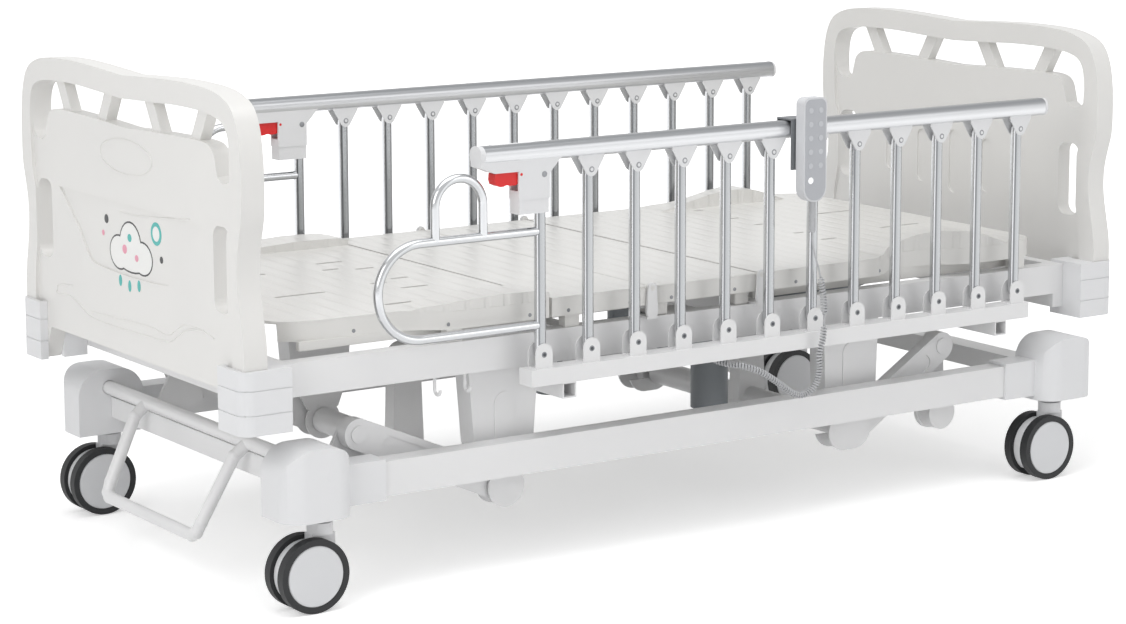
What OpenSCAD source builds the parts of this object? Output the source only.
// Pediatric hospital cot: electric height and section drives, folding side rails, end boards, castors.
// Millimetres, +Z up, +X towards the headboard, origin on the floor under the middle of the whole cot.

/* [Whole cot] */
// Distance from the middle to the outer face of a corner bumper
frame_half = 959; // [900:1:1020]
// How far the wheeled base stands towards the headboard from the middle of the upper frame
base_offset = 9; // [0:1:20]
// Sideways shift that puts the middle of the whole outline, handset included, on the origin
side_shift = 13.3; // [0:0.05:30]

/* [Base frame] */
// Distance of each castor stem from the middle of the base, along the cot
castor_x = 813.35; // [760:0.05:860]
// Distance of each castor stem from the long middle line
castor_y = 399; // [360:1:430]
// Distance of the base side tubes from the long middle line
base_tube_y = 382; // [360:1:390]
// Width of a base side tube
base_tube_w = 40; // [30:1:50]
// Height of a base side tube
base_tube_h = 60; // [40:1:80]
// Height of the base tubes above the floor
base_tube_z = 170; // [150:1:190]
// Wall of the base tubes
base_wall = 3; // [2:0.5:4]
// Width of the end cross tubes of the base
cross_tube_w = 50; // [40:1:70]
// Height of the end cross tubes of the base
cross_tube_h = 38; // [30:1:45]

/* [Castors and covers] */
// Wheel diameter
wheel_d = 125; // [100:25:150]
// Width over the twin wheels of one castor
twin_width = 62; // [50:1:75]
// Width of one wheel
wheel_w = 18; // [14:1:22]
// How far the wheel axle trails behind the swivel stem
castor_trail = 25; // [15:1:40]
// Stem boss diameter under the cover
stem_boss_d = 44; // [36:1:50]
// Stem diameter inside the base socket
stem_d = 20; // [16:1:24]
// Length of a castor cover along the cot
cover_len = 130; // [110:1:150]
// Width of a castor cover across the cot
cover_w = 94; // [85:1:110]
// Underside of the covers
cover_z = 156; // [150:1:165]
// Top of the covers
cover_top = 277; // [265:1:290]

/* [Brake pedal] */
// Height of the pedal shaft
shaft_z = 243; // [235:1:250]
// Diameter of the pedal shaft
shaft_d = 25; // [20:1:30]
// Distance of the pedal shaft outwards from the stems
shaft_out = 20; // [10:1:30]
// Diameter of the pedal bar
pedal_d = 22; // [18:1:26]
// Half width of the pedal bar at the shaft
pedal_top_half = 192; // [160:1:220]
// Half width of the pedal bar at the foot
pedal_foot_half = 172; // [140:1:200]
// How far the foot bar stands out from the shaft
pedal_out = 94; // [70:1:120]
// How far the foot bar hangs under the shaft
pedal_drop = 155; // [120:1:170]

/* [Lift linkage] */
// Reach of the foot arm along the cot at rest
foot_arm_reach = 289; // [270:1:300]
// Drop of the foot arm at rest
foot_arm_drop = 128; // [115:1:140]
// Reach of the head arm along the cot at rest
head_arm_reach = 212; // [190:1:230]
// Drop of the head arm at rest
head_arm_drop = 134; // [120:1:145]
// Distance of the lower foot pivot from the middle
foot_pin_x = 404; // [390:1:420]
// Distance of the lower head pivot from the middle
head_pin_x = 384; // [370:1:400]
// Height of the lower pivots
low_pin_z = 138; // [130:1:150]
// Radius of an arm round its upper pivot
arm_r = 27; // [22:1:32]
// Pivot pin radius
arm_pin_r = 12; // [9:1:14]
// Inner face of the lift arms from the middle line
arm_y = 314; // [300:1:325]
// Thickness of a lift arm
arm_t = 24; // [16:1:26]
// Height of the push levers over the lower pivots
lever_h = 200; // [160:1:210]

/* [Upper frame] */
// Outer face of the upper side tubes from the middle line
upper_tube_y = 380; // [365:1:385]
// Width of the upper side tubes
upper_tube_w = 30; // [25:1:40]
// Underside of the upper side tubes
upper_tube_z = 355; // [345:1:365]
// Height of the upper side tubes
upper_tube_h = 57; // [45:1:65]
// Height of the end cross members
end_member_h = 84; // [70:1:95]
// Width of a hanging leg at its top
leg_top_w = 144; // [130:1:155]
// Width of a hanging leg at its bottom
leg_low_w = 121; // [105:1:130]
// Outer face of the hanging legs
leg_y = 346; // [335:1:350]
// Radius of the round foot of a hanging leg
leg_foot_r = 37; // [30:1:42]

/* [End boards] */
// Half width of a board at its widest
board_half = 423; // [400:1:430]
// Lower end of the board legs
board_z = 312; // [305:1:320]
// Top of the boards
board_top = 866; // [820:1:900]
// Thickness of the board rim
board_t = 42; // [34:1:48]
// Thickness of the board panel
panel_t = 30; // [22:1:36]
// Thickness of the four slanting struts
strut_t = 20; // [14:1:26]

/* [Bumpers] */
// Length of a bumper along the cot
bumper_len = 91; // [85:1:100]
// Width of a bumper across the cot
bumper_w = 85; // [75:1:95]
// Outer side face of a bumper from the middle line
bumper_y = 430.5; // [425:0.5:440]
// Underside of the bumpers
bumper_z = 311; // [305:1:320]
// Top of the bumpers
bumper_top = 417; // [405:1:425]

/* [Deck] */
// Half width of the deck panels
deck_half = 385; // [360:1:395]
// Top of the deck panels
deck_top = 469; // [455:1:475]
// Depth of the deck panel skirts
skirt = 34; // [24:1:38]
// Gap from the foot end of the deck to the outer face of the bumpers
deck_foot_gap = 109; // [90:1:140]
// Seam between leg and thigh panels, foot side of the middle
knee_seam = 337; // [320:1:350]
// Seam between thigh and seat panels, foot side of the middle
hip_seam = 128; // [115:1:140]
// Seam between seat and back panels, head side of the middle
back_seam = 115; // [105:1:125]
// Gap from the head end of the deck to the outer face of the bumpers
deck_head_gap = 156; // [130:1:180]
// Gap at each seam
seam_gap = 6; // [4:0.5:10]

/* [Side rails] */
// Number of posts on each side
post_count = 12; // [8:1:12]
// Spacing of the posts
post_pitch = 98.4; // [90:0.1:105]
// First post pin, foot side of the middle
first_post = 382.7; // [370:0.1:395]
// Diameter of a post
post_d = 20; // [16:0.5:22]
// Height of the lower post pins
low_pivot_z = 382.8; // [375:0.1:390]
// Distance between the two pins of a post
post_len = 311.4; // [280:0.1:330]
// Distance of the rails from the middle line
rail_y = 421; // [415:0.5:425]
// Width of the top rail
rail_w = 36; // [30:1:40]
// Height of the top rail
rail_h = 32; // [28:1:38]
// Height of the top rail's underside over the upper post pins
rail_lift = 21.8; // [18:0.1:26]
// Foot end of the top rail
rail_foot = 502; // [490:1:515]
// Head end of the top rail
rail_head = 760; // [745:1:775]
// Height of the base channel of a rail
channel_h = 29; // [24:1:36]
// Height of the lower post pins over the channel
pin_over_channel = 23.8; // [18:0.1:30]
// Width of the base channel of a rail
channel_w = 38; // [34:1:42]
// Foot end of the base channel
channel_foot = 413; // [405:1:425]
// Head end of the base channel
channel_head = 724; // [715:1:735]

/* [Entry loop] */
// Tube diameter of the loop on the first post
loop_d = 16; // [14:0.5:20]
// Height of the upper bar of the loop
loop_top_z = 595; // [580:1:605]
// Height of the lower bar of the loop
loop_low_z = 433; // [425:1:440]
// Middle of the round end of the loop, foot side of the middle
loop_x = 620; // [600:1:640]
// Width between the legs of the hand arch
arch_w = 94; // [80:1:110]
// Top of the hand arch
arch_top = 706; // [690:1:715]
// Middle of the hand arch, foot side of the middle
arch_x = 543.5; // [530:0.5:560]

/* [Handset and cord] */
// Width of the handset
handset_w = 52; // [48:1:62]
// Height of the handset
handset_h = 188; // [180:1:210]
// Depth of the handset
handset_t = 24; // [18:1:28]
// Middle of the handset, head side of the middle
handset_x = 175; // [165:1:200]
// Lower end of the handset
handset_z = 603; // [585:1:615]
// Radius of the coil at the wire middle
coil_r = 4.7; // [4:0.1:6]
// Radius of the cord wire
wire_r = 1.6; // [1.5:0.1:2]
// Spacing of the curls
curl_pitch = 5.4; // [4.8:0.1:6]

/* [Drives] */
// Diameter of a drive motor
motor_d = 72; // [60:1:80]
// Diameter of a drive tube
drive_d = 44; // [36:1:50]
// Diameter of a push rod
rod_d = 20; // [16:1:24]
// Side distance of the back drive
back_drive_y = 110; // [95:1:140]

/* [Hidden] */
$fn = 64;

// Small gaps and overruns shared by the whole part
over = 1;
run_gap = 0.05;
loose = 0.3;
touch = 0.25;

// Colours
white = [0.93, 0.93, 0.93];
warm_white = [0.90, 0.90, 0.885];
black = [0.05, 0.05, 0.05];
steel = [0.72, 0.73, 0.74];
red = [0.85, 0.02, 0.02];
grey = [0.62, 0.64, 0.66];

// Derived heights and places
wheel_r = wheel_d / 2;
base_foot_x = base_offset - castor_x;
base_head_x = base_offset + castor_x;
base_top = base_tube_z + base_tube_h;
upper_top = upper_tube_z + upper_tube_h;
foot_low = [-foot_pin_x, low_pin_z];
foot_up = [-foot_pin_x - foot_arm_reach, low_pin_z + foot_arm_drop];
head_low = [head_pin_x, low_pin_z];
head_up = [head_pin_x + head_arm_reach, low_pin_z + head_arm_drop];
top_pivot_z = low_pivot_z + post_len;
rail_z = top_pivot_z + rail_lift;
rail_top = rail_z + rail_h;
clip_base = 2;
channel_top = low_pivot_z - pin_over_channel;
channel_z = channel_top - channel_h;
deck_low = deck_top - skirt;
leg_panel_end = frame_half - deck_foot_gap;
back_panel_end = frame_half - deck_head_gap;
post_r = post_d / 2;
ear_in = post_r + loose * 1.5;
ear_t = 2.5;
ear_out = ear_in + ear_t;
pin_r = 3;
board_inset = 30;
board_mid = frame_half - board_inset;
bumper_in = frame_half - bumper_len;
end_x = bumper_in - loose;
end_t = 25;

// Placing helpers
module place() { translate([0, side_shift, 0]) children(); }
module box(x0, x1, y0, y1, z0, z1) {
    translate([min(x0, x1), min(y0, y1), min(z0, z1)]) cube([abs(x1 - x0), abs(y1 - y0), abs(z1 - z0)]);
}
module both_sides() {
    children();
    mirror([0, 1, 0]) children();
}
module rod_y(x, z, r, y0, y1) {
    translate([x, y1, z]) rotate([90, 0, 0]) cylinder(h = y1 - y0, r = r);
}
module rod_x(y, z, r, x0, x1) {
    translate([x0, y, z]) rotate([0, 90, 0]) cylinder(h = x1 - x0, r = r);
}
module rod_z(x, y, r, z0, z1) {
    translate([x, y, z0]) cylinder(h = z1 - z0, r = r);
}
// A flat shape drawn in X and Z, thickened from y0 to y1
module wall_y(y0, y1) {
    translate([0, y1, 0]) rotate([90, 0, 0]) linear_extrude(y1 - y0) children();
}
// A flat shape drawn in Y and Z, thickened from x0 to x1
module wall_x(x0, x1) {
    translate([x0, 0, 0]) rotate([90, 0, 90]) linear_extrude(x1 - x0) children();
}
module wall_z(z0, z1) {
    translate([0, 0, z0]) linear_extrude(z1 - z0) children();
}
module round_rect(x0, x1, y0, y1, r) {
    translate([x0 + r, y0]) square([x1 - x0 - 2 * r, y1 - y0]);
    translate([x0, y0 + r]) square([x1 - x0, y1 - y0 - 2 * r]);
    for (x = [x0 + r, x1 - r], y = [y0 + r, y1 - r]) translate([x, y]) circle(r);
}
module tube_x(x0, x1, y0, y1, z0, z1, t) {
    difference() {
        box(x0, x1, y0, y1, z0, z1);
        box(x0 - over, x1 + over, y0 + t, y1 - t, z0 + t, z1 - t);
    }
}
module tube_y(x0, x1, y0, y1, z0, z1, t) {
    difference() {
        box(x0, x1, y0, y1, z0, z1);
        box(x0 + t, x1 - t, y0 - over, y1 + over, z0 + t, z1 - t);
    }
}
// Two circles joined by their outer tangents
module link2d(p, rp, q, rq) {
    d = norm(q - p);
    a = atan2(q[1] - p[1], q[0] - p[0]);
    b = acos((rp - rq) / d);
    translate(p) circle(rp);
    translate(q) circle(rq);
    polygon([p + rp * [cos(a + b), sin(a + b)], q + rq * [cos(a + b), sin(a + b)],
        q + rq * [cos(a - b), sin(a - b)], p + rp * [cos(a - b), sin(a - b)]]);
}
// A smooth line through a table of points
function curve_at(t, i, u) = let (n = len(t), a = t[max(i - 1, 0)], b = t[i], c = t[min(i + 1, n - 1)],
    d = t[min(i + 2, n - 1)]) 0.5 * (2 * b + (c - a) * u + (2 * a - 5 * b + 4 * c - d) * u * u
    + (3 * b - a - 3 * c + d) * u * u * u);
function curve(t, k) = concat([for (i = [0 : len(t) - 2], j = [0 : k - 1]) curve_at(t, i, j / k)],
    [t[len(t) - 1]]);
function flip(t) = [for (i = [len(t) - 1 : -1 : 0]) [-t[i][0], t[i][1]]];
function flip_y(t) = [for (i = [len(t) - 1 : -1 : 0]) [t[i][0], -t[i][1]]];

// One wheeled base: side tubes, end cross tubes, castor sockets, shaft bearings, arm brackets
socket_r = 16;
socket_low = 158;
socket_top = 226;
stem_top = 216;
side_over = 22;
cross_in = 8;
cross_low = 187;
plate_t = 8;
bracket_gap = 2;
bracket_y = arm_y - plate_t - bracket_gap;
bracket_r = arm_r - bracket_gap;
shaft_x = base_foot_x - shaft_out;
bearing_y = 354;
bearing_t = 6;
bearing_r = 19;
foot_bracket_shares = [[0.85, -0.4], [1.42, -2.3], [-2.3, -2.3], [-0.75, 0.5]];
shelf_z = [204, 212];
shelf_x = [13, 38];
head_foot_z = 143;
head_foot_r = 35;
head_foot_in = 4;
head_shelf_x = [6, 31];
head_shelf_z = [198, 206];
boss_r = 32;
module base_frame() color(white) place() {
    both_sides() difference() {
        union() {
            tube_x(base_foot_x - side_over, base_head_x + side_over, base_tube_y - base_tube_w / 2,
                base_tube_y + base_tube_w / 2, base_tube_z, base_top, base_wall);
            for (x = [base_foot_x, base_head_x]) rod_z(x, castor_y, socket_r, socket_low, socket_top);
            // shaft bearing plate inside the foot cover
            wall_y(bearing_y, bearing_y + bearing_t) {
                translate([shaft_x, shaft_z]) circle(bearing_r);
                translate([shaft_x - bearing_r, base_tube_z + base_tube_h / 2])
                    square([2 * bearing_r, shaft_z - base_tube_z - base_tube_h / 2]);
            }
            box(shaft_x, base_foot_x - cross_in, bearing_y, base_tube_y - base_tube_w / 2 + over,
                base_top - plate_t, base_top);
            // foot arm bracket
            wall_y(bracket_y, bracket_y + plate_t) {
                translate(foot_up) circle(bracket_r);
                polygon([for (s = foot_bracket_shares) foot_up + s * arm_r]);
            }
            box(foot_up[0] + shelf_x[0], foot_up[0] + shelf_x[1], bracket_y,
                base_tube_y - base_tube_w / 2 + over, shelf_z[0], shelf_z[1]);
            // head arm bracket with its round foot
            wall_y(bracket_y, bracket_y + plate_t)
                link2d(head_up, bracket_r, [head_up[0] - head_foot_in, head_foot_z], head_foot_r);
            box(head_up[0] + head_shelf_x[0], head_up[0] + head_shelf_x[1], bracket_y,
                base_tube_y - base_tube_w / 2 + over, head_shelf_z[0], head_shelf_z[1]);
            rod_y(head_up[0] - head_foot_in, head_foot_z, boss_r, bracket_y, leg_y);
        }
        for (x = [base_foot_x, base_head_x])
            rod_z(x, castor_y, stem_d / 2 + run_gap, socket_low - over, stem_top + over);
        rod_y(shaft_x, shaft_z, shaft_d / 2 + run_gap, bearing_y - over, bearing_y + bearing_t + over);
        for (p = [foot_up, head_up])
            rod_y(p[0], p[1], arm_pin_r + run_gap, bracket_y - over, bracket_y + plate_t + over);
    }
    inner = base_tube_y - base_tube_w / 2;
    for (x = [base_foot_x + cross_in, base_head_x - cross_in])
        tube_y(x - cross_tube_w / 2, x + cross_tube_w / 2, -inner - over, inner + over,
            cross_low, cross_low + cross_tube_h, base_wall);
}

// Plastic castor covers: a domed hood over each socket and a sleeve round the side tube
hood_r = 48;
hood_plan_r = 38;
hood_wall = 3.5;
hood_in_y = 350;
hood_mid = 17;
sleeve_end = 123;
sleeve_t = 5;
plug_r = 9.5;
plug_z = 231;
shaft_hole_gap = 1.2;
module hood_shape(g) {
    x0 = -hood_mid - cover_len / 2 + g;
    x1 = -hood_mid + cover_len / 2 - g;
    intersection() {
        wall_z(cover_z - (g > 0 ? over : 0), cover_top - g) {
            round_rect(x0, x1, hood_in_y + g, hood_in_y + cover_w - g, hood_plan_r - g);
            translate([x0, hood_in_y + g]) square([x1 - x0, cover_w / 2]);
        }
        wall_y(hood_in_y, hood_in_y + cover_w)
            round_rect(x0, x1, cover_z - hood_r - over, cover_top - g, hood_r - g);
    }
}
// Drawn for the foot end with the stem at X = 0
module cover() {
    y0 = base_tube_y - base_tube_w / 2 - loose;
    y1 = base_tube_y + base_tube_w / 2 + loose;
    z0 = base_tube_z - loose;
    z1 = base_top + loose;
    difference() {
        union() {
            hood_shape(0);
            box(0, sleeve_end, y0 - sleeve_t, y1 + sleeve_t, z0 - sleeve_t, z1 + sleeve_t);
            rod_y(0, plug_z, plug_r, hood_in_y + cover_w - over, hood_in_y + cover_w + loose);
        }
        hood_shape(hood_wall);
        box(0, sleeve_end + over, y0, y1, z0, z1);
        // way in for the cross tube
        box(cross_in - cross_tube_w / 2 - loose, cross_in + cross_tube_w / 2 + loose, hood_in_y - over,
            hood_in_y + cover_w / 3, cross_low - loose, cross_low + cross_tube_h + loose);
    }
}
module caster_covers() color(white) place() both_sides() {
    difference() {
        translate([base_foot_x, 0, 0]) cover();
        rod_y(shaft_x, shaft_z, shaft_d / 2 + shaft_hole_gap, hood_in_y - over, hood_in_y + hood_wall * 2);
    }
    translate([base_head_x, 0, 0]) mirror([1, 0, 0]) cover();
}

// One castor: stem, boss, round housing between the wheels, and the axle
housing_r = 55;
housing_air = 0.7;
housing_half = twin_width / 2 - wheel_w - housing_air;
axle_r = 5;
boss_gap = 2;
boss_low = wheel_d + boss_gap;
housing_cut_shares = [0.16, 0.7];
axle_in = 4;
hub_skin = 3.5;
boss_top = 147;
module castor(x, y) {
    rod_z(x, y, stem_d / 2, boss_top - over, stem_top);
    rod_z(x, y, stem_boss_d / 2, boss_low, boss_top);
    difference() {
        union() {
            rod_y(x - castor_trail, wheel_r, housing_r, y - housing_half, y + housing_half);
            box(x - stem_boss_d / 2, x + stem_boss_d / 2, y - housing_half, y + housing_half,
                wheel_d * housing_cut_shares[1], boss_low + over);
        }
        box(x - castor_trail - housing_r, x - castor_trail + housing_r, y - housing_half - over,
            y + housing_half + over, 0, wheel_d * housing_cut_shares[0]);
    }
    rod_y(x - castor_trail, wheel_r, axle_r, y - twin_width / 2 + axle_in, y + twin_width / 2 - axle_in);
}
ring_r = 50;
ring_w = 1.6;
ring_deep = 1.2;
module wheel_pair(x, y) translate([x - castor_trail, y, 0]) both_sides() difference() {
    rod_y(0, wheel_r, wheel_r, twin_width / 2 - wheel_w, twin_width / 2);
    rod_y(0, wheel_r, axle_r + run_gap, twin_width / 2 - wheel_w - over, twin_width / 2 - hub_skin);
    difference() {
        rod_y(0, wheel_r, ring_r + ring_w, twin_width / 2 - ring_deep, twin_width / 2 + over);
        rod_y(0, wheel_r, ring_r, twin_width / 2 - ring_deep - over, twin_width / 2 + over * 2);
    }
}
module caster_near_foot() color(white) place() castor(base_foot_x, -castor_y);
module caster_far_foot() color(white) place() castor(base_foot_x, castor_y);
module caster_near_head() color(white) place() castor(base_head_x, -castor_y);
module caster_far_head() color(white) place() castor(base_head_x, castor_y);
module wheels_near_foot() color(black) place() wheel_pair(base_foot_x, -castor_y);
module wheels_far_foot() color(black) place() wheel_pair(base_foot_x, castor_y);
module wheels_near_head() color(black) place() wheel_pair(base_head_x, -castor_y);
module wheels_far_head() color(black) place() wheel_pair(base_head_x, castor_y);

// Brake pedal: a through shaft and one bent tube as a foot bar
// Columns: outwards, inwards and downwards
pedal_path_shares = [[0, 0, 0], [0.28, 0.1, 0.135], [0.89, 0.8, 0.845], [0.97, 1, 0.96], [1, 1.6, 1]];
module bar3(p, q, r) {
    v = q - p;
    translate(p) rotate([0, acos(v[2] / norm(v)), atan2(v[1], v[0])]) cylinder(h = norm(v), r = r);
}
elbow_bulge = 0.6;
shaft_end = 8;
module brake_pedal() color(white) place() {
    reach = bearing_y + bearing_t + shaft_end;
    rod_y(shaft_x, shaft_z, shaft_d / 2, -reach, reach);
    pts = [for (s = pedal_path_shares) [shaft_x - s[0] * pedal_out,
        pedal_top_half - s[1] * (pedal_top_half - pedal_foot_half), shaft_z - s[2] * pedal_drop]];
    both_sides() for (i = [0 : len(pts) - 2]) {
        bar3(pts[i], pts[i + 1], pedal_d / 2);
        translate(pts[i + 1]) sphere(pedal_d / 2 + elbow_bulge);
    }
    last = pts[len(pts) - 1];
    rod_y(last[0], last[2], pedal_d / 2, -last[1], last[1]);
}

// Lift arms: two side arms and a torque tube with a push lever
arm_out = arm_y + arm_t;
torque_r = 24;
torque_in = 46;
torque_half = leg_y - torque_in;
low_pin_out = 2;
arm_low_r = 30;
head_pin_r = 8;
lever_half = 16;
lever_low_r = 33;
lever_top_r = 27;
head_lever_share = 0.74;
bolt_r = 15;
bolt_t = 3;
recess_t = 2;
recess_shares = [0.21, 0.74];
recess_r_shares = [0.56, 0.61];
function mid(p, q, share) = p + (q - p) * share;
module arm_pair(up, low, low_pin) {
    both_sides() {
        difference() {
            wall_y(arm_y, arm_out) link2d(up, arm_r, low, arm_low_r);
            wall_y(arm_out - recess_t, arm_out + over)
                link2d(mid(up, low, recess_shares[0]), arm_r * recess_r_shares[0],
                    mid(up, low, recess_shares[1]), arm_r * recess_r_shares[1]);
        }
        rod_y(up[0], up[1], bolt_r, arm_out - over, arm_out + bolt_t);
        rod_y(up[0], up[1], arm_pin_r, bracket_y - bracket_gap, arm_y + over);
        rod_y(low[0], low[1], low_pin, torque_half - over, arm_out + low_pin_out);
    }
    rod_y(low[0], low[1], torque_r, -torque_half, torque_half);
}
module foot_lift_arm() color(white) place() {
    arm_pair(foot_up, foot_low, arm_pin_r);
    wall_y(-lever_half, lever_half) link2d(foot_low, lever_low_r,
        foot_low + [0, lever_h - lever_top_r], lever_top_r);
}
module head_lift_arm() color(white) place() {
    arm_pair(head_up, head_low, head_pin_r);
    wall_y(-lever_half, lever_half) link2d(head_low, lever_low_r,
        head_low + [0, lever_h * head_lever_share - lever_top_r], lever_top_r);
}

// Upper frame: side tubes, end members, cross members, hanging legs, rail stubs and hinge brackets
upper_wall = 2.5;
end_low = upper_top - end_member_h;
member_w = 40;
member_z = [355, 395];
member_x = [-240, 190];
drain_r = 6;
drain_z = 350;
drain_y = 322;
leg_t = 4;
leg_in_y = [302, 306];
foot_leg_x = -409;
head_leg_x = 364;
head_leg_top_w = 132;
foot_leg_web = 217;
slot_half = 10;
slot_x = [308, 394];
head_foot_x = [351, 377];
stub_x = [-333, 656];
stub_w = 28;
stub_z = [302, 330];
stub_in = 300;
stub_out = 437;
hip_x = -hip_seam;
back_x = back_seam;
hinge_drop = 2;
hinge_z = deck_top - hinge_drop;
hinge_pin_r = 5;
hinge_r = 12;
hinge_eye_r = 9;
lug_t = 3.2;
lug_y = [deck_half + loose, deck_half + loose + lug_t];
bracket_gap_y = 1.5;
bracket_t = 5;
bracket_out = [lug_y[1] + bracket_gap_y, lug_y[1] + bracket_gap_y + bracket_t];
leg_cap_in = 12;
leg_flare_shares = [0.9, 0.6];
stub_skin = 2;
support_len = 30;
support_in = [18, 45, 62, 37, 310];
support_x = [support_in[0] - hip_seam, back_seam - support_in[1], back_panel_end - support_in[2],
    support_in[3] - knee_seam, support_in[4] - leg_panel_end];
support_y = [354, 374];
actuator_at = [239, 315];
clevis_in = 24;
clevis_out = 30;
clevis_r = 14;
clevis_pin_r = 8;
bead_w = 40;
bead_t = 1.5;
bead_low = 215;
bead_top = 307;
// Outline of a hanging leg; the foot is a circle or an oblong
module leg_2d(x, top_w, low_w, foot) {
    flare = leg_foot_r * leg_flare_shares;
    polygon([[x - top_w / 2, upper_tube_z], [x + top_w / 2, upper_tube_z],
        [x + low_w / 2, foot_leg_web], [foot[1] + flare[0], low_pin_z + flare[1]],
        [foot[0] - flare[0], low_pin_z + flare[1]], [x - low_w / 2, foot_leg_web]]);
    for (f = foot) translate([f, low_pin_z]) circle(leg_foot_r);
    translate([foot[0], low_pin_z - leg_foot_r]) square([max(foot[1] - foot[0], run_gap), 2 * leg_foot_r]);
}
module leg_web(x, top_w, low_w, side, low) {
    intersection() {
        wall_y(leg_in_y[0], leg_y) polygon([[x + side * top_w / 2, upper_tube_z],
            [x + side * (top_w / 2 - leg_t), upper_tube_z], [x + side * (low_w / 2 - leg_t), foot_leg_web],
            [x + side * low_w / 2, foot_leg_web]]);
        box(x - top_w, x + top_w, leg_in_y[0], leg_y, low, upper_tube_z);
    }
}
module leg(x, top_w, low_w, foot) {
    difference() {
        union() {
            wall_y(leg_y - leg_t, leg_y) leg_2d(x, top_w, low_w, foot);
            wall_y(leg_in_y[0], leg_in_y[1]) leg_2d(x, top_w, low_w, foot);
            for (side = [-1, 1]) leg_web(x, top_w, low_w, side, foot_leg_web);
            box(x - top_w / 2, x + top_w / 2, leg_in_y[0], upper_tube_y - upper_tube_w + leg_cap_in,
                upper_tube_z - leg_t, upper_tube_z + touch);
            // raised arch on the outer plate
            wall_y(leg_y - over, leg_y + bead_t) {
                translate([x, bead_top - bead_w / 2]) circle(bead_w / 2);
                translate([x - bead_w / 2, bead_low]) square([bead_w, bead_top - bead_w / 2 - bead_low]);
            }
        }
        children();
    }
}
module hinge_bracket(x) {
    wall_y(bracket_out[0], bracket_out[1]) difference() {
        link2d([x, upper_top + hinge_r], hinge_r, [x, hinge_z], hinge_eye_r);
        translate([x, hinge_z]) circle(hinge_pin_r + run_gap);
    }
    box(x - hinge_r, x + hinge_r, upper_tube_y - upper_tube_w / 2, bracket_out[1],
        upper_top - touch, upper_top + leg_t);
}
hook_r = 3;
hook_drop = 22;
hook_bend = 9;
hook_xs = [-560, -500];
module hook_j(x) {
    rod_z(x, upper_tube_y - upper_tube_w / 2, hook_r, upper_tube_z - hook_drop, upper_tube_z + over);
    translate([x, upper_tube_y - upper_tube_w / 2 + hook_bend, upper_tube_z - hook_drop])
        rotate([90, 0, -90]) rotate_extrude(angle = -180) translate([hook_bend, 0]) circle(hook_r);
}
module upper_frame() color(white) place() {
    y0 = upper_tube_y - upper_tube_w;
    both_sides() {
        tube_x(-end_x + end_t / 2, end_x - end_t / 2, y0, upper_tube_y, upper_tube_z, upper_top,
            upper_wall);
        leg(foot_leg_x, leg_top_w, leg_low_w, [foot_low[0], foot_low[0]])
            rod_y(foot_low[0], foot_low[1], arm_pin_r + run_gap, leg_in_y[0] - over, leg_in_y[1] + over);
        leg(head_leg_x, head_leg_top_w, leg_low_w, head_foot_x)
            box(slot_x[0], slot_x[1], leg_in_y[0] - over, leg_in_y[1] + over,
                low_pin_z - slot_half, low_pin_z + slot_half);
        for (x = stub_x) {
            tube_y(x - stub_w / 2, x + stub_w / 2, stub_in, stub_out, stub_z[0], stub_z[1], upper_wall);
            box(x - stub_w / 2, x + stub_w / 2, upper_tube_y - upper_wall - over, upper_tube_y - stub_skin,
                stub_z[1] - over, upper_tube_z + over);
        }
        for (x = [hip_x, back_x]) hinge_bracket(x);
    }
    for (side = [-1, 1]) difference() {
        box(side > 0 ? end_x - end_t : -end_x, side > 0 ? end_x : -end_x + end_t,
            -upper_tube_y, upper_tube_y, end_low, upper_top);
        box(side > 0 ? end_x - end_t + upper_wall : -end_x + upper_wall,
            side > 0 ? end_x - upper_wall : -end_x + end_t - upper_wall, -upper_tube_y + upper_wall,
            upper_tube_y - upper_wall, end_low + upper_wall, upper_top - upper_wall);
        for (y = [-drain_y, drain_y])
            rod_x(y, drain_z, drain_r, side > 0 ? end_x - end_t - over : -end_x + end_t / 2,
                side > 0 ? end_x - end_t / 2 : -end_x + end_t + over);
    }
    for (x = member_x) tube_y(x - member_w / 2, x + member_w / 2, -y0 - over, y0 + over,
        member_z[0], member_z[1], upper_wall);
    // clevis of the back drive
    for (side = [-1, 1]) difference() {
        wall_y(-back_drive_y + (side > 0 ? clevis_in : -clevis_out),
            -back_drive_y + (side > 0 ? clevis_out : -clevis_in))
            link2d([member_x[1] + member_w / 4, member_z[0] + member_w / 2], clevis_r, actuator_at, clevis_r);
        rod_y(actuator_at[0], actuator_at[1], clevis_pin_r + run_gap, -back_drive_y - clevis_out - over,
            -back_drive_y + clevis_out + over);
    }
    // shelf over the control box
    box(box_x[0] + box_r, box_x[1] - box_r, -y0 - over, box_y[1] - box_r, box_z[1] + loose,
        box_z[1] + loose + upper_wall);
    mirror([0, 1, 0]) for (x = hook_xs) hook_j(x);
}

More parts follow.
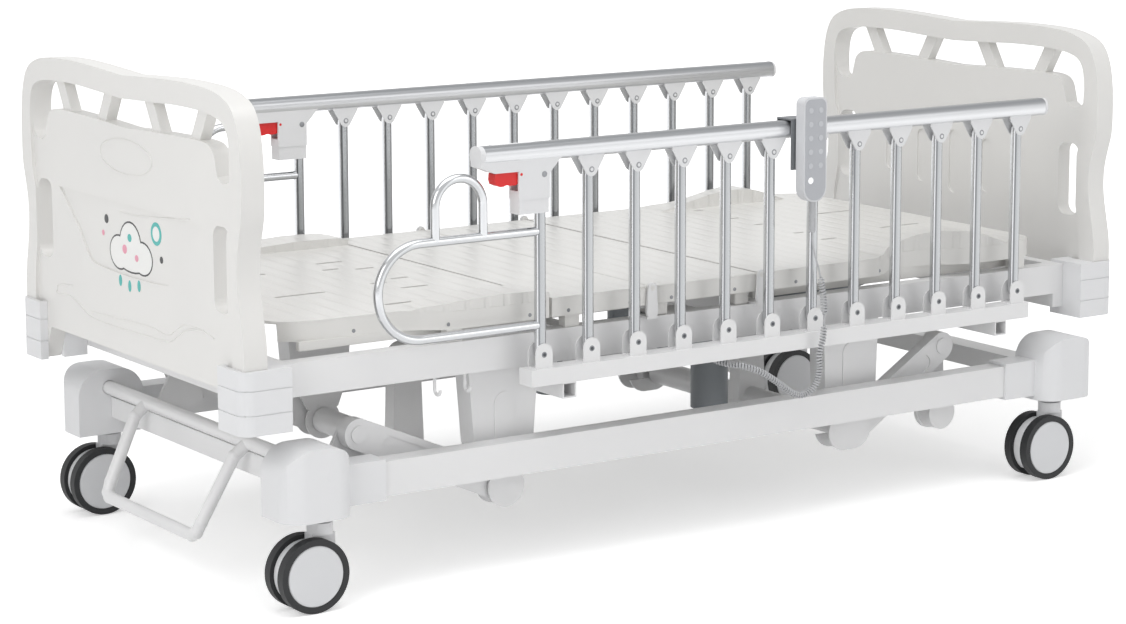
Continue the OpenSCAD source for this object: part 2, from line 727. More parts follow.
// Four corner bumpers with a socket for the board legs
board_leg_share = 0.844;
socket_x = [board_mid - board_t / 2 - loose, board_mid + board_t / 2 + loose];
socket_y = [board_half * board_leg_share, board_half + loose];
bumper_r = 25;
bumper_skin = 4;
groove_w = 2;
groove_deep = 1.5;
groove_shares = [0.32, 0.7];
module bumper_plan(g) {
    round_rect(bumper_in + g, frame_half - g, bumper_y - bumper_w + g, bumper_y - g, bumper_r - g);
    translate([bumper_in + g, bumper_y - bumper_w + g]) square([bumper_len - bumper_r - g, bumper_w - 2 * g]);
    translate([bumper_in + g, bumper_y - bumper_w + g]) square([bumper_len - 2 * g, bumper_w / 2]);
}
module bumper() {
    difference() {
        wall_z(bumper_z, bumper_top) bumper_plan(0);
        box(socket_x[0], socket_x[1], socket_y[0], socket_y[1], bumper_z - over, bumper_top + over);
        // slot for the thinner panel beside the leg of the board
        box(board_mid - panel_t / 2 - loose, board_mid + panel_t / 2 + loose, bumper_y - bumper_w - over,
            socket_y[0] + over, bumper_z - over, bumper_top + over);
        box(bumper_in + bumper_skin, socket_x[0] - bumper_skin, bumper_y - bumper_w + bumper_skin,
            bumper_y - bumper_skin, bumper_z - over, bumper_top - bumper_skin);
        for (s = groove_shares) wall_z(bumper_z + s * (bumper_top - bumper_z) - groove_w / 2,
            bumper_z + s * (bumper_top - bumper_z) + groove_w / 2) difference() {
            translate([bumper_in - over, bumper_y - bumper_w - over])
                square([bumper_len + 2 * over, bumper_w + 2 * over]);
            translate([-over * 2, 0]) bumper_plan(groove_deep);
            bumper_plan(groove_deep);
            translate([bumper_in - over * 2, bumper_y - bumper_w - over])
                square([bumper_len - bumper_r, bumper_w - groove_deep + over]);
        }
    }
}
module corner_bumpers() color(white) place() both_sides() {
    bumper();
    mirror([1, 0, 0]) bumper();
}

// End boards: moulded rim, thinner panel, two hand slots, slanting struts under the top bow
edge_shares = [[0.853, 0], [0.998, 0], [0.998, 0.231], [0.991, 0.285], [0.955, 0.42], [0.953, 0.501],
    [0.969, 0.564], [0.995, 0.637], [1, 0.718], [0.995, 0.808], [0.974, 0.889], [0.927, 0.949],
    [0.839, 0.981], [0.709, 0.996], [0.473, 1], [0.236, 0.994], [0, 0.985]];
rim_shares = [[0.903, 0], [0.901, 0.231], [0.894, 0.285], [0.861, 0.42], [0.856, 0.501], [0.872, 0.564],
    [0.898, 0.637], [0.905, 0.736], [0.907, 0.817], [0.889, 0.875], [0.839, 0.907], [0.709, 0.924],
    [0.473, 0.927], [0.236, 0.92], [0, 0.913]];
bow_shares = [[0.816, 0.723], [0.87, 0.729], [0.901, 0.76], [0.907, 0.817], [0.889, 0.875],
    [0.839, 0.907], [0.709, 0.924], [0.473, 0.927], [0.236, 0.92], [0, 0.913]];
panel_top_shares = [[0, 0.822], [0.236, 0.829], [0.473, 0.833], [0.674, 0.833], [0.745, 0.813],
    [0.768, 0.775], [0.78, 0.74]];
notch_share = [0.78, 0.11];
strut_shares = [[0.66, 0.563], [0.17, 0.267]];
strut_w = 34;
hand_slot_y = [312, 368];
hand_slot_z = [500, 642];
hand_slot_r = 20;
cavity_y = 290;
cavity_z = [380, 750];
cavity_wall = 4;
cavity_t = panel_t - 2 * cavity_wall;
strut_z_shares = [0.81, 0.935];
vent_r = 3;
smooth = 4;
board_h = board_top - board_z;
function on_board(t) = [for (p = t) [p[0] * board_half, board_z + p[1] * board_h]];
function tail_of(t, first) = [for (i = [first : len(t) - 1]) t[i]];
function board_half_line(t) = concat(on_board([t[0], t[1], t[2]]), curve(on_board(tail_of(t, 2)), smooth));
module board_outline() {
    half = board_half_line(edge_shares);
    notch = on_board([notch_share]);
    polygon(concat(half, flip(half), flip(notch), notch));
}
module rim_outline() {
    half = concat(on_board([rim_shares[0]]), curve(on_board(tail_of(rim_shares, 1)), smooth));
    notch = on_board([notch_share]);
    polygon(concat(half, flip(half), [[-notch[0][0], board_z], notch[0] - [2 * notch[0][0], 0]], notch,
        [[notch[0][0], board_z]]));
}
module bow_opening() {
    top = curve(on_board(bow_shares), smooth);
    low = curve(on_board(panel_top_shares), smooth);
    polygon(concat(top, flip(top), flip(low), low));
}
// Drawn with its middle plane at X = 0
module board() {
    difference() {
        union() {
            wall_x(-board_t / 2, board_t / 2) difference() {
                board_outline();
                rim_outline();
            }
            wall_x(-panel_t / 2, panel_t / 2) difference() {
                intersection() {
                    board_outline();
                    rim_outline();
                }
                bow_opening();
            }
            wall_x(-strut_t / 2, strut_t / 2) for (s = strut_shares, m = [-1, 1])
                polygon([[m * (s[0] * board_half - strut_w / 2), board_z + board_h * strut_z_shares[1]],
                    [m * (s[0] * board_half + strut_w / 2), board_z + board_h * strut_z_shares[1]],
                    [m * (s[1] * board_half + strut_w / 2), board_z + board_h * strut_z_shares[0]],
                    [m * (s[1] * board_half - strut_w / 2), board_z + board_h * strut_z_shares[0]]]);
        }
        for (m = [0, 1]) mirror([0, m, 0]) wall_x(-board_t, board_t)
            round_rect(hand_slot_y[0], hand_slot_y[1], hand_slot_z[0], hand_slot_z[1], hand_slot_r);
        box(-cavity_t / 2, cavity_t / 2, -cavity_y, cavity_y, cavity_z[0], cavity_z[1]);
        for (y = [-cavity_y / 2, cavity_y / 2]) rod_z(0, y, vent_r, board_z, cavity_z[0] + over);
    }
}
pocket_shares = [[0.66, 0.583], [0.49, 0.473], [0.385, 0.388], [0.3, 0.366], [0, 0.359]];
pocket_deep = 3;
module footboard() color(warm_white) place() translate([-board_mid, 0, 0]) difference() {
    board();
    wall_x(-panel_t, -panel_t / 2 + pocket_deep) {
        half = curve(on_board(pocket_shares), smooth);
        polygon(concat(half, flip(half)));
    }
}
blind_shares = [[0, 0.346, 0.581], [0.236, 0.368, 0.566], [0.473, 0.395, 0.545]];
blind_w = 28;
blind_deep = 3;
module headboard() color(warm_white) place() translate([board_mid, 0, 0]) difference() {
    board();
    for (s = blind_shares, m = [-1, 1]) wall_x(-panel_t, -panel_t / 2 + blind_deep)
        round_rect(m * s[0] * board_half - blind_w / 2, m * s[0] * board_half + blind_w / 2,
            board_z + s[1] * board_h, board_z + s[2] * board_h, blind_w / 2 - run_gap);
}

// Control box with its cord gland
box_x = [-51, 69];
box_y = [-330, -210];
box_z = [335, 390];
box_r = 10;
gland_r = 8;
module control_box() color(grey) place() {
    wall_z(box_z[0], box_z[1]) round_rect(box_x[0], box_x[1], box_y[0], box_y[1], box_r);
    rod_y(gland[0], gland[2], gland_r, gland[1], box_y[0] + over);
}

// Deck panels: a moulded tray with skirts, raised side edges and a steel sub-frame under it
deck_skin = 5;
leg_shares = [[0, 1], [0.275, 1], [0.402, 0.982], [0.49, 0.914], [0.588, 0.883], [0.824, 0.87],
    [0.931, 0.831], [0.99, 0.727], [1, 0.571]];
back_shares = [[0, 1], [0.353, 1], [0.426, 0.982], [0.485, 0.909], [0.558, 0.891], [0.645, 0.909],
    [0.704, 0.966], [0.762, 0.987], [0.908, 0.987], [0.974, 0.948], [0.996, 0.857], [1, 0.649]];
plain_shares = [[0, 1], [1, 1]];
// Share table turned into places between x0 and x1
function along(t, x0, x1) = [for (p = t) [x0 + p[0] * (x1 - x0), p[1] * deck_half]];
module deck_plan(t, x0, x1) {
    half = len(t) > 2 ? curve(along(t, x0, x1), smooth) : along(t, x0, x1);
    polygon(concat(half, flip_y(half)));
}
tray_share = 0.8;
module tray(t, x0, x1) {
    difference() {
        wall_z(deck_low, deck_top) deck_plan(t, x0, x1);
        box(min(x0, x1) + deck_skin, max(x0, x1) - deck_skin, -deck_half * tray_share, deck_half * tray_share,
            deck_low - over, deck_top - deck_skin);
    }
}
// Raised side edge that follows the outline between two places
module raised_edge(t, x0, x1, profile) {
    intersection() {
        wall_z(deck_top - over, deck_top + skirt) difference() {
            deck_plan(t, x0, x1);
            translate([-frame_half, -deck_half * tray_share])
                square([2 * frame_half, 2 * deck_half * tray_share]);
        }
        wall_y(-deck_half - over, deck_half + over) polygon(profile);
    }
}
slot_len = 100;
slot_w = 10;
// Each slot: its place along the panel, its place across the half width, and its length
leg_slot_shares = [[0.657, 0.286, 1], [0.255, 0.397, 0.56], [0.463, 0.717, 0.56], [0.21, 0.16, 0.38],
    [0.322, 0.223, 0.34]];
back_slot_shares = [[0.823, 0.275, 1], [0.502, 0.405, 0.38], [0.514, 0.73, 0.26], [0.5, 0.165, 0.26]];
module air_slots(t, x0, x1) {
    for (s = t, m = [-1, 1]) {
        x = x0 + s[0] * (x1 - x0);
        y = m * s[1] * deck_half;
        wall_z(deck_top - deck_skin - over, deck_top + over)
            round_rect(x - s[2] * slot_len / 2, x + s[2] * slot_len / 2, y - slot_w / 2, y + slot_w / 2,
                slot_w / 2 - run_gap);
    }
}
bar_h = 22;
knee_x = -knee_seam;
knee_drop = 10;
knee_z = deck_low - knee_drop;
knuckle_r = 8;
bar_in = [55, 43, 67, 57, 45];
back_bar_y = [deck_half - bar_in[0], deck_half - bar_in[1]];
thigh_bar_y = [deck_half - bar_in[2], deck_half - bar_in[3]];
leg_bar_y = [deck_half - bar_in[0], deck_half - bar_in[4]];
lug_len = 22;
lug_lap = 3;
boss_len = 12;
boss_drop = 7;
boss_wall = 2;
// Foot of a deck section that rests on the side tube of the frame
module rest_foot(x) {
    box(x, x + support_len, support_y[0], support_y[1], upper_top + loose, deck_low + over);
}
// Side lug with a hinge pin; side is +1 when the panel lies on the +X side
module hinge_lug(x, side) {
    box(side > 0 ? x + lug_lap : x - lug_len, side > 0 ? x + lug_len : x - lug_lap, deck_half - over,
        lug_y[1], deck_low + over, hinge_z);
    rod_y(x, hinge_z, hinge_pin_r + boss_wall, lug_y[0], lug_y[1]);
    box(side > 0 ? x : x - boss_len, side > 0 ? x + boss_len : x, lug_y[0], lug_y[1],
        hinge_z - boss_drop, hinge_z + over);
    rod_y(x, hinge_z, hinge_pin_r, lug_y[1] - over, bracket_out[1] + loose);
}
back_edge_shares = [[0.4, 0], [0.5, 0.4], [0.6, 0.8], [0.675, 0.9], [0.75, 0.8], [0.83, 0.3], [0.87, 0]];
lug_at = [649, 395];
lug_half = [10, 16];
back_lug_r = [14, 12];
back_bar_in = [16, 39];
lug_bar_half = 6.5;
module back_panel() color(warm_white) place() {
    x0 = back_seam + seam_gap / 2;
    x1 = back_panel_end;
    difference() {
        tray(back_shares, x0, x1);
        air_slots(back_slot_shares, x0, x1);
    }
    edge = [for (s = back_edge_shares) [x0 + s[0] * (x1 - x0), deck_top + s[1] * skirt]];
    raised_edge(back_shares, x0, x1, concat([[edge[0][0], deck_top - over]], curve(edge, smooth),
        [[edge[len(edge) - 1][0], deck_top - over]]));
    both_sides() {
        hinge_lug(back_x, 1);
        rest_foot(support_x[2]);
        box(x0 + back_bar_in[0], x1 - back_bar_in[1], back_bar_y[0], back_bar_y[1], deck_low - bar_h,
            deck_low + over);
    }
    bar_x = lug_at[0];
    box(bar_x - lug_bar_half, bar_x + lug_bar_half, -back_bar_y[1], back_bar_y[1], deck_low - bar_h / 2,
        deck_low + over);
    for (side = [-1, 1]) wall_y(-back_drive_y + (side > 0 ? lug_half[0] : -lug_half[1]),
        -back_drive_y + (side > 0 ? lug_half[1] : -lug_half[0]))
            link2d([bar_x, deck_low - over], back_lug_r[0], lug_at, back_lug_r[1]);
}
module seat_panel() color(warm_white) place() {
    x0 = -hip_seam + seam_gap / 2;
    x1 = back_seam - seam_gap / 2;
    tray(plain_shares, x0, x1);
    both_sides() for (i = [0, 1]) rest_foot(support_x[i]);
}
knee_lever_at = [-128, 372];
knee_lever_r = 12;
knee_lever_y = [44, 76];
knee_foot_at = -151;
knee_foot_r = 14;
knee_foot_half = 15;
module thigh_panel() color(warm_white) place() {
    x0 = -hip_seam - seam_gap / 2;
    x1 = -knee_seam + seam_gap / 2;
    tray(plain_shares, x0, x1);
    both_sides() {
        hinge_lug(hip_x, -1);
        rest_foot(support_x[3]);
        box(knee_x, x0 - seam_gap, thigh_bar_y[0], thigh_bar_y[1], knee_z - knuckle_r / 2, deck_low + over);
        rod_y(knee_x, knee_z, knuckle_r, thigh_bar_y[0], thigh_bar_y[1]);
        rod_y(knee_x, knee_z, pin_r, thigh_bar_y[1] - over, leg_bar_y[1] + over);
    }
    box(knee_foot_at - knee_foot_half, knee_foot_at + knee_foot_half, knee_lever_y[0], knee_lever_y[1],
        deck_low, deck_top - over);
    wall_y(knee_lever_y[0], knee_lever_y[1])
        link2d([knee_foot_at, deck_low], knee_foot_r, knee_lever_at, knee_lever_r);
}
leg_bar_in = [45, 13];
leg_edge_shares = [[0, 0], [0, 0.3], [0.05, 0.45], [0.2, 0.5], [0.35, 0.4], [0.45, 0.2], [0.5, 0]];
module leg_panel() color(warm_white) place() {
    x0 = -knee_seam - seam_gap / 2;
    x1 = -leg_panel_end;
    difference() {
        tray(leg_shares, x0, x1);
        air_slots(leg_slot_shares, x0, x1);
    }
    edge = [for (s = leg_edge_shares) [x0 + s[0] * (x1 - x0), deck_top + s[1] * skirt]];
    raised_edge(leg_shares, x0, x1, concat([[x0, deck_top - over]], edge,
        [[edge[len(edge) - 1][0], deck_top - over]]));
    both_sides() difference() {
        union() {
            rest_foot(support_x[4]);
            box(x1 + leg_bar_in[0], knee_x, leg_bar_y[0], leg_bar_y[1], knee_z - knuckle_r / 2,
                knee_z + knuckle_r / 2);
            box(x1 + leg_bar_in[0], x0 - leg_bar_in[1], leg_bar_y[0], leg_bar_y[1], knee_z, deck_low + over);
            rod_y(knee_x, knee_z, knuckle_r, leg_bar_y[0], leg_bar_y[1]);
        }
        rod_y(knee_x, knee_z, pin_r + run_gap, leg_bar_y[0] - over, leg_bar_y[1] + over);
    }
}

// Rail channels with a clip for every post
ear_w = 34;
ear_r = ear_w / 2;
ear_rise = 19.2;
lower_ear_top = low_pivot_z + ear_rise;
channel_wall = 3;
function post_x(i) = -first_post + (i - 1) * post_pitch;
module lower_clip(x) {
    for (m = [-1, 1]) wall_y(rail_y + (m > 0 ? ear_in : -ear_out), rail_y + (m > 0 ? ear_out : -ear_in)) {
        translate([x, lower_ear_top - ear_r]) circle(ear_r);
        translate([x - ear_r, channel_top - over])
            square([ear_w, lower_ear_top - ear_r - channel_top + over]);
    }
    box(x - ear_r, x + ear_r, rail_y - ear_out, rail_y + ear_out, channel_top - over,
        channel_top + clip_base);
    rod_y(x, low_pivot_z, pin_r, rail_y - ear_out - over, rail_y + ear_out + over);
}
module rail_channels() color(steel) place() both_sides() {
    y0 = rail_y - channel_w / 2;
    y1 = rail_y + channel_w / 2;
    difference() {
        box(-channel_foot, channel_head, y0, y1, channel_z, channel_top);
        box(-channel_foot + channel_wall, channel_head - channel_wall, y0 + channel_wall, y1 - channel_wall,
            channel_z + channel_wall, channel_top - channel_wall);
        for (x = [-channel_foot + channel_w, channel_head - channel_w])
            rod_z(x, rail_y, vent_r, channel_z - over, channel_z + channel_wall + over);
    }
    for (i = [1 : post_count]) lower_clip(post_x(i));
}

// One post: a round bar with round ends and a pin bore at each end
module post(i) {
    difference() {
        union() {
            rod_z(post_x(i), 0, post_r, low_pivot_z, top_pivot_z);
            for (z = [low_pivot_z, top_pivot_z]) translate([post_x(i), 0, z]) sphere(post_r);
            if (i == 1) entry_loop();
        }
        for (z = [low_pivot_z, top_pivot_z])
            rod_y(post_x(i), z, pin_r + run_gap, -post_d, post_d);
    }
}
// Bent loop with a hand arch, carried by the first post
module half_ring(r) { rotate([90, 0, 0]) rotate_extrude(angle = 180) translate([r, 0]) circle(loop_d / 2); }
module entry_loop() {
    end_r = (loop_top_z - loop_low_z) / 2;
    for (z = [loop_top_z, loop_low_z]) rod_x(0, z, loop_d / 2, -loop_x, post_x(1));
    translate([-loop_x, 0, loop_low_z + end_r]) rotate([0, -90, 0]) half_ring(end_r);
    arch_r = arch_w / 2;
    arch_z = arch_top - loop_d / 2 - arch_r;
    for (m = [-1, 1]) rod_z(-arch_x + m * arch_r, 0, loop_d / 2, loop_top_z, arch_z);
    translate([-arch_x, 0, arch_z]) half_ring(arch_r);
}
module near_post(i) color(steel) place() translate([0, -rail_y, 0]) post(i);
module far_post(i) color(steel) place() translate([0, rail_y, 0]) post(i);
module near_post_1() near_post(1);
module near_post_2() near_post(2);
module near_post_3() near_post(3);
module near_post_4() near_post(4);
module near_post_5() near_post(5);
module near_post_6() near_post(6);
module near_post_7() near_post(7);
module near_post_8() near_post(8);
module near_post_9() near_post(9);
module near_post_10() near_post(10);
module near_post_11() near_post(11);
module near_post_12() near_post(12);
module far_post_1() far_post(1);
module far_post_2() far_post(2);
module far_post_3() far_post(3);
module far_post_4() far_post(4);
module far_post_5() far_post(5);
module far_post_6() far_post(6);
module far_post_7() far_post(7);
module far_post_8() far_post(8);
module far_post_9() far_post(9);
module far_post_10() far_post(10);
module far_post_11() far_post(11);
module far_post_12() far_post(12);

// Top rail with upper clips and the latch housing under its foot end
rail_round = 14;
clip_top_w = 53;
clip_lobe = 12;
clip_lobe_z = -4.2;
clip_waist = 11.4;
clip_sink = 6;
house_top = rail_z + clip_sink;
cap_len = 8;
house_x = [-434, -372];
house_low = 628;
house_cheek = 15.5;
house_back = post_r + loose * 2;
seam_z = 652;
seam_step = 1.2;
nose_x = [-510, -482];
nose_z = [713.5, 702];
nose_half = 16;
pocket_half = 11.6;
pocket_in = 14;
pocket_z = [668, 713];
trigger_pin = [-429, 697];
trigger_pin_r = 2.5;
trigger_half = 11;
fan_x = 35;
fan_h = 22;
module upper_clip(x) {
    for (m = [-1, 1]) wall_y(m > 0 ? ear_in : -ear_out, m > 0 ? ear_out : -ear_in) {
        translate([x, top_pivot_z]) circle(clip_lobe);
        polygon([[x - clip_top_w / 2, house_top], [x - clip_top_w / 2, rail_z - over],
            [x - clip_waist, top_pivot_z + clip_lobe_z], [x + clip_waist, top_pivot_z + clip_lobe_z],
            [x + clip_top_w / 2, rail_z - over], [x + clip_top_w / 2, house_top]]);
    }
    rod_y(x, top_pivot_z, pin_r, -ear_out - over, ear_out + over);
}
module latch_housing() {
    difference() {
        union() {
            // sleeve round the top of the first post, open towards the head
            box(house_x[0], house_x[1], -house_cheek, house_cheek, seam_z + seam_step, house_top);
            box(house_x[0] + seam_step, house_x[1] - seam_step, -house_cheek + seam_step,
                house_cheek - seam_step, house_low, seam_z + over * 2);
            // nose over the trigger
            wall_y(-nose_half, nose_half) polygon([[nose_x[0], nose_z[0]],
                [nose_x[1], nose_z[1]], [house_x[0] + over, nose_z[1]], [house_x[0] + over, house_top],
                [nose_x[0], house_top]]);
            wall_y(-house_cheek, house_cheek) polygon([[house_x[1] - over, house_top],
                [house_x[1] + fan_x - post_r, house_top], [house_x[1] - over, rail_z - fan_h]]);
        }
        // room for the post to swing towards the head
        box(post_x(1) - house_back, house_x[1] + fan_x, -ear_in, ear_in, house_low - over,
            top_pivot_z + house_back);
        // pocket for the trigger
        box(nose_x[1] - over * 2, house_x[0] + pocket_in, -pocket_half, pocket_half, pocket_z[0],
            pocket_z[1]);
        rod_y(trigger_pin[0], trigger_pin[1], trigger_pin_r + run_gap, -nose_half - over, nose_half + over);
    }
    rod_y(post_x(1), top_pivot_z, pin_r, -house_cheek, house_cheek);
}
module top_rail() {
    wall_x(-rail_foot, rail_head) round_rect(-rail_w / 2, rail_w / 2, rail_z, rail_top, rail_round);
    for (x = [[-rail_foot - cap_len, -rail_foot + over], [rail_head - over, rail_head + cap_len / 2]])
        wall_x(x[0], x[1])
            round_rect(-rail_w / 2 - loose, rail_w / 2 + loose, rail_z - loose, rail_top + loose, rail_round);
    for (i = [2 : post_count]) upper_clip(post_x(i));
    latch_housing();
}
module near_top_rail() color(steel) place() translate([0, -rail_y, 0]) top_rail();
module far_top_rail() color(steel) place() translate([0, rail_y, 0]) top_rail();

// Red release trigger, pulled up against the rail
trigger_line = [[-479, 690], [-477, 682], [-468, 678], [-437, 679], [-424, 688], [-423, 703], [-470, 704.5],
    [-478, 700]];
finger_at = [-455, 668];
finger_r = 12;
module trigger() {
    difference() {
        wall_y(-trigger_half, trigger_half) polygon(trigger_line);
        wall_y(-trigger_half - over, trigger_half + over) translate(finger_at) circle(finger_r);
    }
    rod_y(trigger_pin[0], trigger_pin[1], trigger_pin_r, -nose_half + loose, nose_half - loose);
}
module near_trigger() color(red) place() translate([0, -rail_y, 0]) trigger();
module far_trigger() color(red) place() translate([0, rail_y, 0]) trigger();

// Handset with its hook over the near rail and its strain relief
handset_gap = 7;
handset_back = -rail_y - rail_w / 2 - handset_gap;
handset_front = handset_back - handset_t;
handset_r = 12;
face_in = 3;
face_up = 0.8;
key_r = 5;
key_up = 0.9;
key_dx = 11.2;
key_top = 23;
key_step = 24.8;
key_rows = 5;
lock_r = 6;
lock_at = [-11, 39.5];
hook_x = [-33, 6];
hook_t = 3;
hook_low = 660;
hook_in_low = 738;
relief_r = 5.5;
relief_rib = 6.3;
relief_len = 56;
relief_in = 11;
rib_first = 6;
rib_step = 8;
rib_w = 3;
rib_count = 5;
pad_x = [-13, 3];
relief_at = [178, -459];
module handset_2d(g) {
    x0 = handset_x - handset_w / 2 + g;
    x1 = handset_x + handset_w / 2 - g;
    z1 = handset_z + handset_h - g;
    r = handset_w / 2 - g;
    translate([handset_x, handset_z + handset_w / 2]) circle(r);
    translate([x0, handset_z + handset_w / 2]) square([x1 - x0, z1 - handset_r - handset_z - handset_w / 2]);
    translate([x0 + handset_r, handset_z + handset_w])
        square([x1 - x0 - 2 * handset_r, z1 - handset_z - handset_w]);
    for (x = [x0 + handset_r, x1 - handset_r]) translate([x, z1 - handset_r]) circle(handset_r);
}
module handset() color(grey) place() {
    wall_y(handset_front + face_up, handset_back) handset_2d(0);
    wall_y(handset_front, handset_front + face_up + over) handset_2d(face_in);
    for (i = [0 : key_rows - 1], m = [-1, 1])
        rod_y(handset_x + m * key_dx, handset_z + handset_h - key_top - i * key_step, key_r,
            handset_front - key_up, handset_front + over);
    rod_y(handset_x + lock_at[0], handset_z + lock_at[1], lock_r, handset_front - key_up,
        handset_front + over);
    // hook
    y_out = -rail_y - rail_w / 2 - loose * 2;
    y_in = -rail_y + rail_w / 2 + loose * 2;
    hx0 = handset_x + hook_x[0];
    hx1 = handset_x + hook_x[1];
    box(hx0, hx1, y_out - hook_t, y_out, hook_low, rail_top + loose * 2 + hook_t);
    box(hx0, hx1, y_out - hook_t, y_in + hook_t, rail_top + loose * 2, rail_top + loose * 2 + hook_t);
    box(hx0, hx1, y_in, y_in + hook_t, hook_in_low, rail_top + loose * 2 + hook_t);
    box(handset_x + pad_x[0], handset_x + pad_x[1], handset_back - over, y_out - over, hook_low + hook_t,
        rail_top - handset_r);
    relief_z = handset_z - relief_len;
    rod_z(relief_at[0], relief_at[1], relief_r, relief_z, handset_z + relief_in);
    for (z = [relief_z + rib_first : rib_step : relief_z + rib_first + (rib_count - 1) * rib_step])
        rod_z(relief_at[0], relief_at[1], relief_rib, z, z + rib_w);
}

// Curly cord: a route of hand-picked points, and curls worked out along it
gland = [-10, -342, 345];
cord_y = -459;
cord_route = [[178, -459, 546.5], [179, -459, 528], [184, -459, 507], [191, -459, 487], [197, -459, 467],
    [203, -459, 440], [207, -459, 410]];
tail_route = [[205, -459, 350], [197, -459, 320], [197, -459, 291], [191.6, -459, 271],
    [177, -459, 256.4], [157, -459, 251], [134, -459, 258.2], [112, -459, 273.5], [90, -458, 289],
    [62, -453, 306], [34, -438, 316], [12, -412, 320], [-3, -384, 330], [-9, -360, 341], [-10, -342.5, 345]];
coil_ref = [1, -1, 1];
route_k = 12;
ramp = 1.5;
sides = 6;
rings = 8;
function unit(v) = v / norm(v);
function sums(p, i = 1, acc = [0]) = i >= len(p) ? acc
    : sums(p, i + 1, concat(acc, [acc[i - 1] + norm(p[i] - p[i - 1])]));
function seek(t, s, lo, hi) = hi - lo <= 1 ? lo : let (m = floor((lo + hi) / 2))
    t[m] <= s ? seek(t, s, m, hi) : seek(t, s, lo, m);
function on_path(p, t, s) = let (i = seek(t, s, 0, len(p) - 1), u = (s - t[i]) / (t[i + 1] - t[i]))
    p[i] + (p[i + 1] - p[i]) * u;
function heading(p, t, s, e) = unit(on_path(p, t, min(s + e, t[len(t) - 1])) - on_path(p, t, max(s - e, 0)));
// Distances of the rings: wide steps on the straight ends, eight for each curl between them
function stops(total, s0, s1, n) = concat([for (i = [0 : rings - 1]) s0 * i / rings],
    [for (i = [0 : n * rings]) s0 + (s1 - s0) * i / (n * rings)],
    [for (i = [1 : rings]) s1 + (total - s1) * i / rings]);
function curl_share(s, s0, s1) = min(1, max(0, min(s - s0, s1 - s) / (ramp * curl_pitch)));
function ease(a) = a * a * (3 - 2 * a);
function coil_point(p, t, s, s0, s1) = let (h = heading(p, t, s, coil_r), n1 = unit(cross(h, coil_ref)),
    n2 = cross(h, n1), a = 360 * (min(max(s, s0), s1) - s0) / curl_pitch,
    r = coil_r * ease(curl_share(s, s0, s1)))
    [on_path(p, t, s) + r * (n1 * cos(a) + n2 * sin(a)), n1 * cos(a) + n2 * sin(a)];
function ring_faces(n) = concat(
    [for (i = [0 : n - 2], j = [0 : sides - 1], k = [0, 1])
        let (a = i * sides + j, b = i * sides + (j + 1) % sides)
        k == 0 ? [a, b, b + sides] : [a, b + sides, a + sides]],
    [for (j = [1 : sides - 2]) [0, j + 1, j]],
    [for (j = [1 : sides - 2]) [(n - 1) * sides, (n - 1) * sides + j, (n - 1) * sides + j + 1]]);
function cord_centres(route, s0, gap1) = let (p = curve(route, route_k), t = sums(p), total = t[len(t) - 1],
    n = floor((total - s0 - gap1) / curl_pitch), s1 = s0 + n * curl_pitch)
    [for (s = stops(total, s0, s1, n)) coil_point(p, t, s, s0, s1)];
near_rings = 3;
function least_gap(c) = min([for (i = [0 : len(c) - 1 - rings],
    j = [i + rings - near_rings : min(i + rings + near_rings, len(c) - 1)])
    norm(c[i][0] - c[j][0]) - 2 * wire_r]);
// Each tube ends in a tip where the two meet, on the pivot of the post that the cord rides on
tip_share = 0.2;
tip_gap = [0.3, 0.45];
function tube_r(c, i, tip) = wire_r * min(1, tip_share + norm(c[i][0] - tip) / wire_r);
module cord_tube(c, tip) {
    n = len(c);
    pts = [for (i = [0 : n - 1]) let (d = unit(c[min(i + 1, n - 1)][0] - c[max(i - 1, 0)][0]),
        e2 = unit(cross(d, c[i][1])), e1 = cross(e2, d)) for (j = [0 : sides - 1])
        c[i][0] + tube_r(c, i, tip) * (e1 * cos(360 * j / sides) + e2 * sin(360 * j / sides))];
    polyhedron(pts, ring_faces(n));
}
cord_start = 84;
cord_end = 4 * wire_r;
tail_start = 4 * wire_r;
tail_end = 30;
module handset_cord() color(grey) place() {
    c = cord_centres(concat(cord_route, [[post_x(7), cord_y, low_pivot_z + tip_gap[0]]]), cord_start,
        cord_end);
    echo("handset cord least gap", least_gap(c), "rings", len(c));
    cord_tube(c, c[len(c) - 1][0]);
}
module handset_cord_tail() color(grey) place() {
    c = cord_centres(concat([[post_x(7), cord_y, low_pivot_z - tip_gap[1]]], tail_route), tail_start,
        tail_end);
    echo("cord tail least gap", least_gap(c), "rings", len(c));
    cord_tube(c, c[0][0]);
}

// Lift drive: tube, gear head and motor under the middle, pushing the foot lever with a roller nose
lift_z = 300;
lift_x = [-330, -60];
nose_r = 9;
nose_w = 14;
nose_gap = 0.4;
lift_nose_x = -367;
lift_rod_end = -205;
lift_motor_x = -85;
lift_motor_z = 205;
motor_wall = 3;
module drive_tube(y, z, x0, x1, bore_end) {
    difference() {
        rod_x(y, z, drive_d / 2, x0, x1);
        rod_x(y, z, rod_d / 2 + run_gap, x0 - over, bore_end);
    }
}
module lift_drive() color(grey) place() {
    drive_tube(0, lift_z, lift_x[0], lift_x[1], lift_rod_end + rod_d / 2);
    rod_z(lift_motor_x, 0, drive_d / 2 + motor_wall, lift_motor_z, lift_z);
    box(member_x[0] - member_w / 2, member_x[0] + member_w / 2, -nose_w, nose_w, lift_z + rod_d,
        member_z[0] - loose);
}
module push_rod(y, z, x_nose, x_end) {
    rod_y(x_nose, z, nose_r, y - nose_w, y + nose_w);
    rod_x(y, z, rod_d / 2, x_nose, x_end);
}
module lift_rod() color(steel) place() push_rod(0, lift_z, lift_nose_x, lift_rod_end);

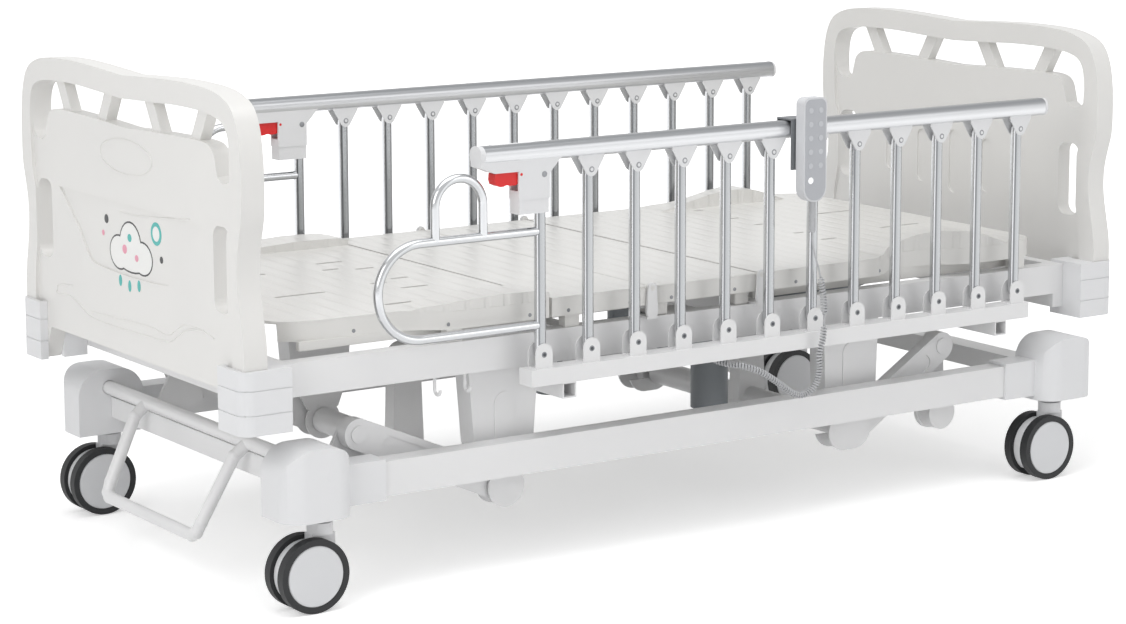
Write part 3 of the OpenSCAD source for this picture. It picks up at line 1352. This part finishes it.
// Knee drive beside it
knee_y = (knee_lever_y[0] + knee_lever_y[1]) / 2;
knee_nose_x = knee_lever_at[0] + knee_lever_r + nose_r + nose_gap;
knee_tube_x = [-80, 150];
knee_rod_end = 20;
knee_motor_x = 120;
knee_motor_z = 290;
module knee_drive() color(grey) place() {
    drive_tube(knee_y, knee_lever_at[1], knee_tube_x[0], knee_tube_x[1], knee_rod_end + rod_d / 2);
    rod_z(knee_motor_x, knee_y, drive_d / 2 + motor_wall, knee_motor_z, knee_lever_at[1]);
    box(knee_tube_x[1] - over, member_x[1] - member_w / 2 - loose, knee_y - nose_w, knee_y + nose_w,
        knee_lever_at[1] - nose_w, knee_lever_at[1] + nose_w);
}
module knee_rod() color(steel) place() push_rod(knee_y, knee_lever_at[1], knee_nose_x, knee_rod_end);

// Back drive: turns on its clevis and pushes the lug under the back panel
drive_dir = unit(lug_at - actuator_at);
drive_angle = atan2(drive_dir[1], drive_dir[0]);
drive_len = norm(lug_at - actuator_at);
back_tube_len = 360;
back_rod_in = 100;
motor_at = [209, 161];
motor_top = 295;
eye_half = 8;
eye_r = 13;
module along_drive() {
    translate([actuator_at[0], -back_drive_y, actuator_at[1]]) rotate([0, -drive_angle, 0]) children();
}
module back_actuator() color(grey) place() {
    along_drive() difference() {
        rod_x(0, 0, drive_d / 2, 0, back_tube_len);
        rod_x(0, 0, rod_d / 2 + run_gap, back_rod_in - over, back_tube_len + over);
    }
    rod_y(actuator_at[0], actuator_at[1], clevis_r, -back_drive_y - drive_d / 2, -back_drive_y + drive_d / 2);
    rod_y(actuator_at[0], actuator_at[1], clevis_pin_r, -back_drive_y - clevis_out - over,
        -back_drive_y + clevis_out + over);
    rod_z(motor_at[0], -back_drive_y, motor_d / 2, motor_at[1], motor_top);
    box(motor_at[0], actuator_at[0] + drive_d / 2, -back_drive_y - drive_d / 2 + over,
        -back_drive_y + drive_d / 2 - over, motor_top - drive_d / 2, actuator_at[1]);
}
module back_rod() color(steel) place() along_drive() {
    rod_x(0, 0, rod_d / 2, back_rod_in, drive_len - eye_r / 2);
    difference() {
        rod_y(drive_len, 0, eye_r, -eye_half, eye_half);
        rod_y(drive_len, 0, eye_r / 2, -eye_half - over, eye_half + over);
    }
}

base_frame();
caster_covers();
brake_pedal();
foot_lift_arm();
head_lift_arm();
lift_drive();
lift_rod();
knee_drive();
knee_rod();
back_actuator();
back_rod();
upper_frame();
corner_bumpers();
footboard();
headboard();
control_box();
back_panel();
seat_panel();
thigh_panel();
leg_panel();
rail_channels();
near_top_rail();
far_top_rail();
near_trigger();
far_trigger();
handset();
handset_cord();
handset_cord_tail();
caster_near_foot();
caster_far_foot();
caster_near_head();
caster_far_head();
wheels_near_foot();
wheels_far_foot();
wheels_near_head();
wheels_far_head();
near_post_1();
near_post_2();
near_post_3();
near_post_4();
near_post_5();
near_post_6();
near_post_7();
near_post_8();
near_post_9();
near_post_10();
near_post_11();
near_post_12();
far_post_1();
far_post_2();
far_post_3();
far_post_4();
far_post_5();
far_post_6();
far_post_7();
far_post_8();
far_post_9();
far_post_10();
far_post_11();
far_post_12();
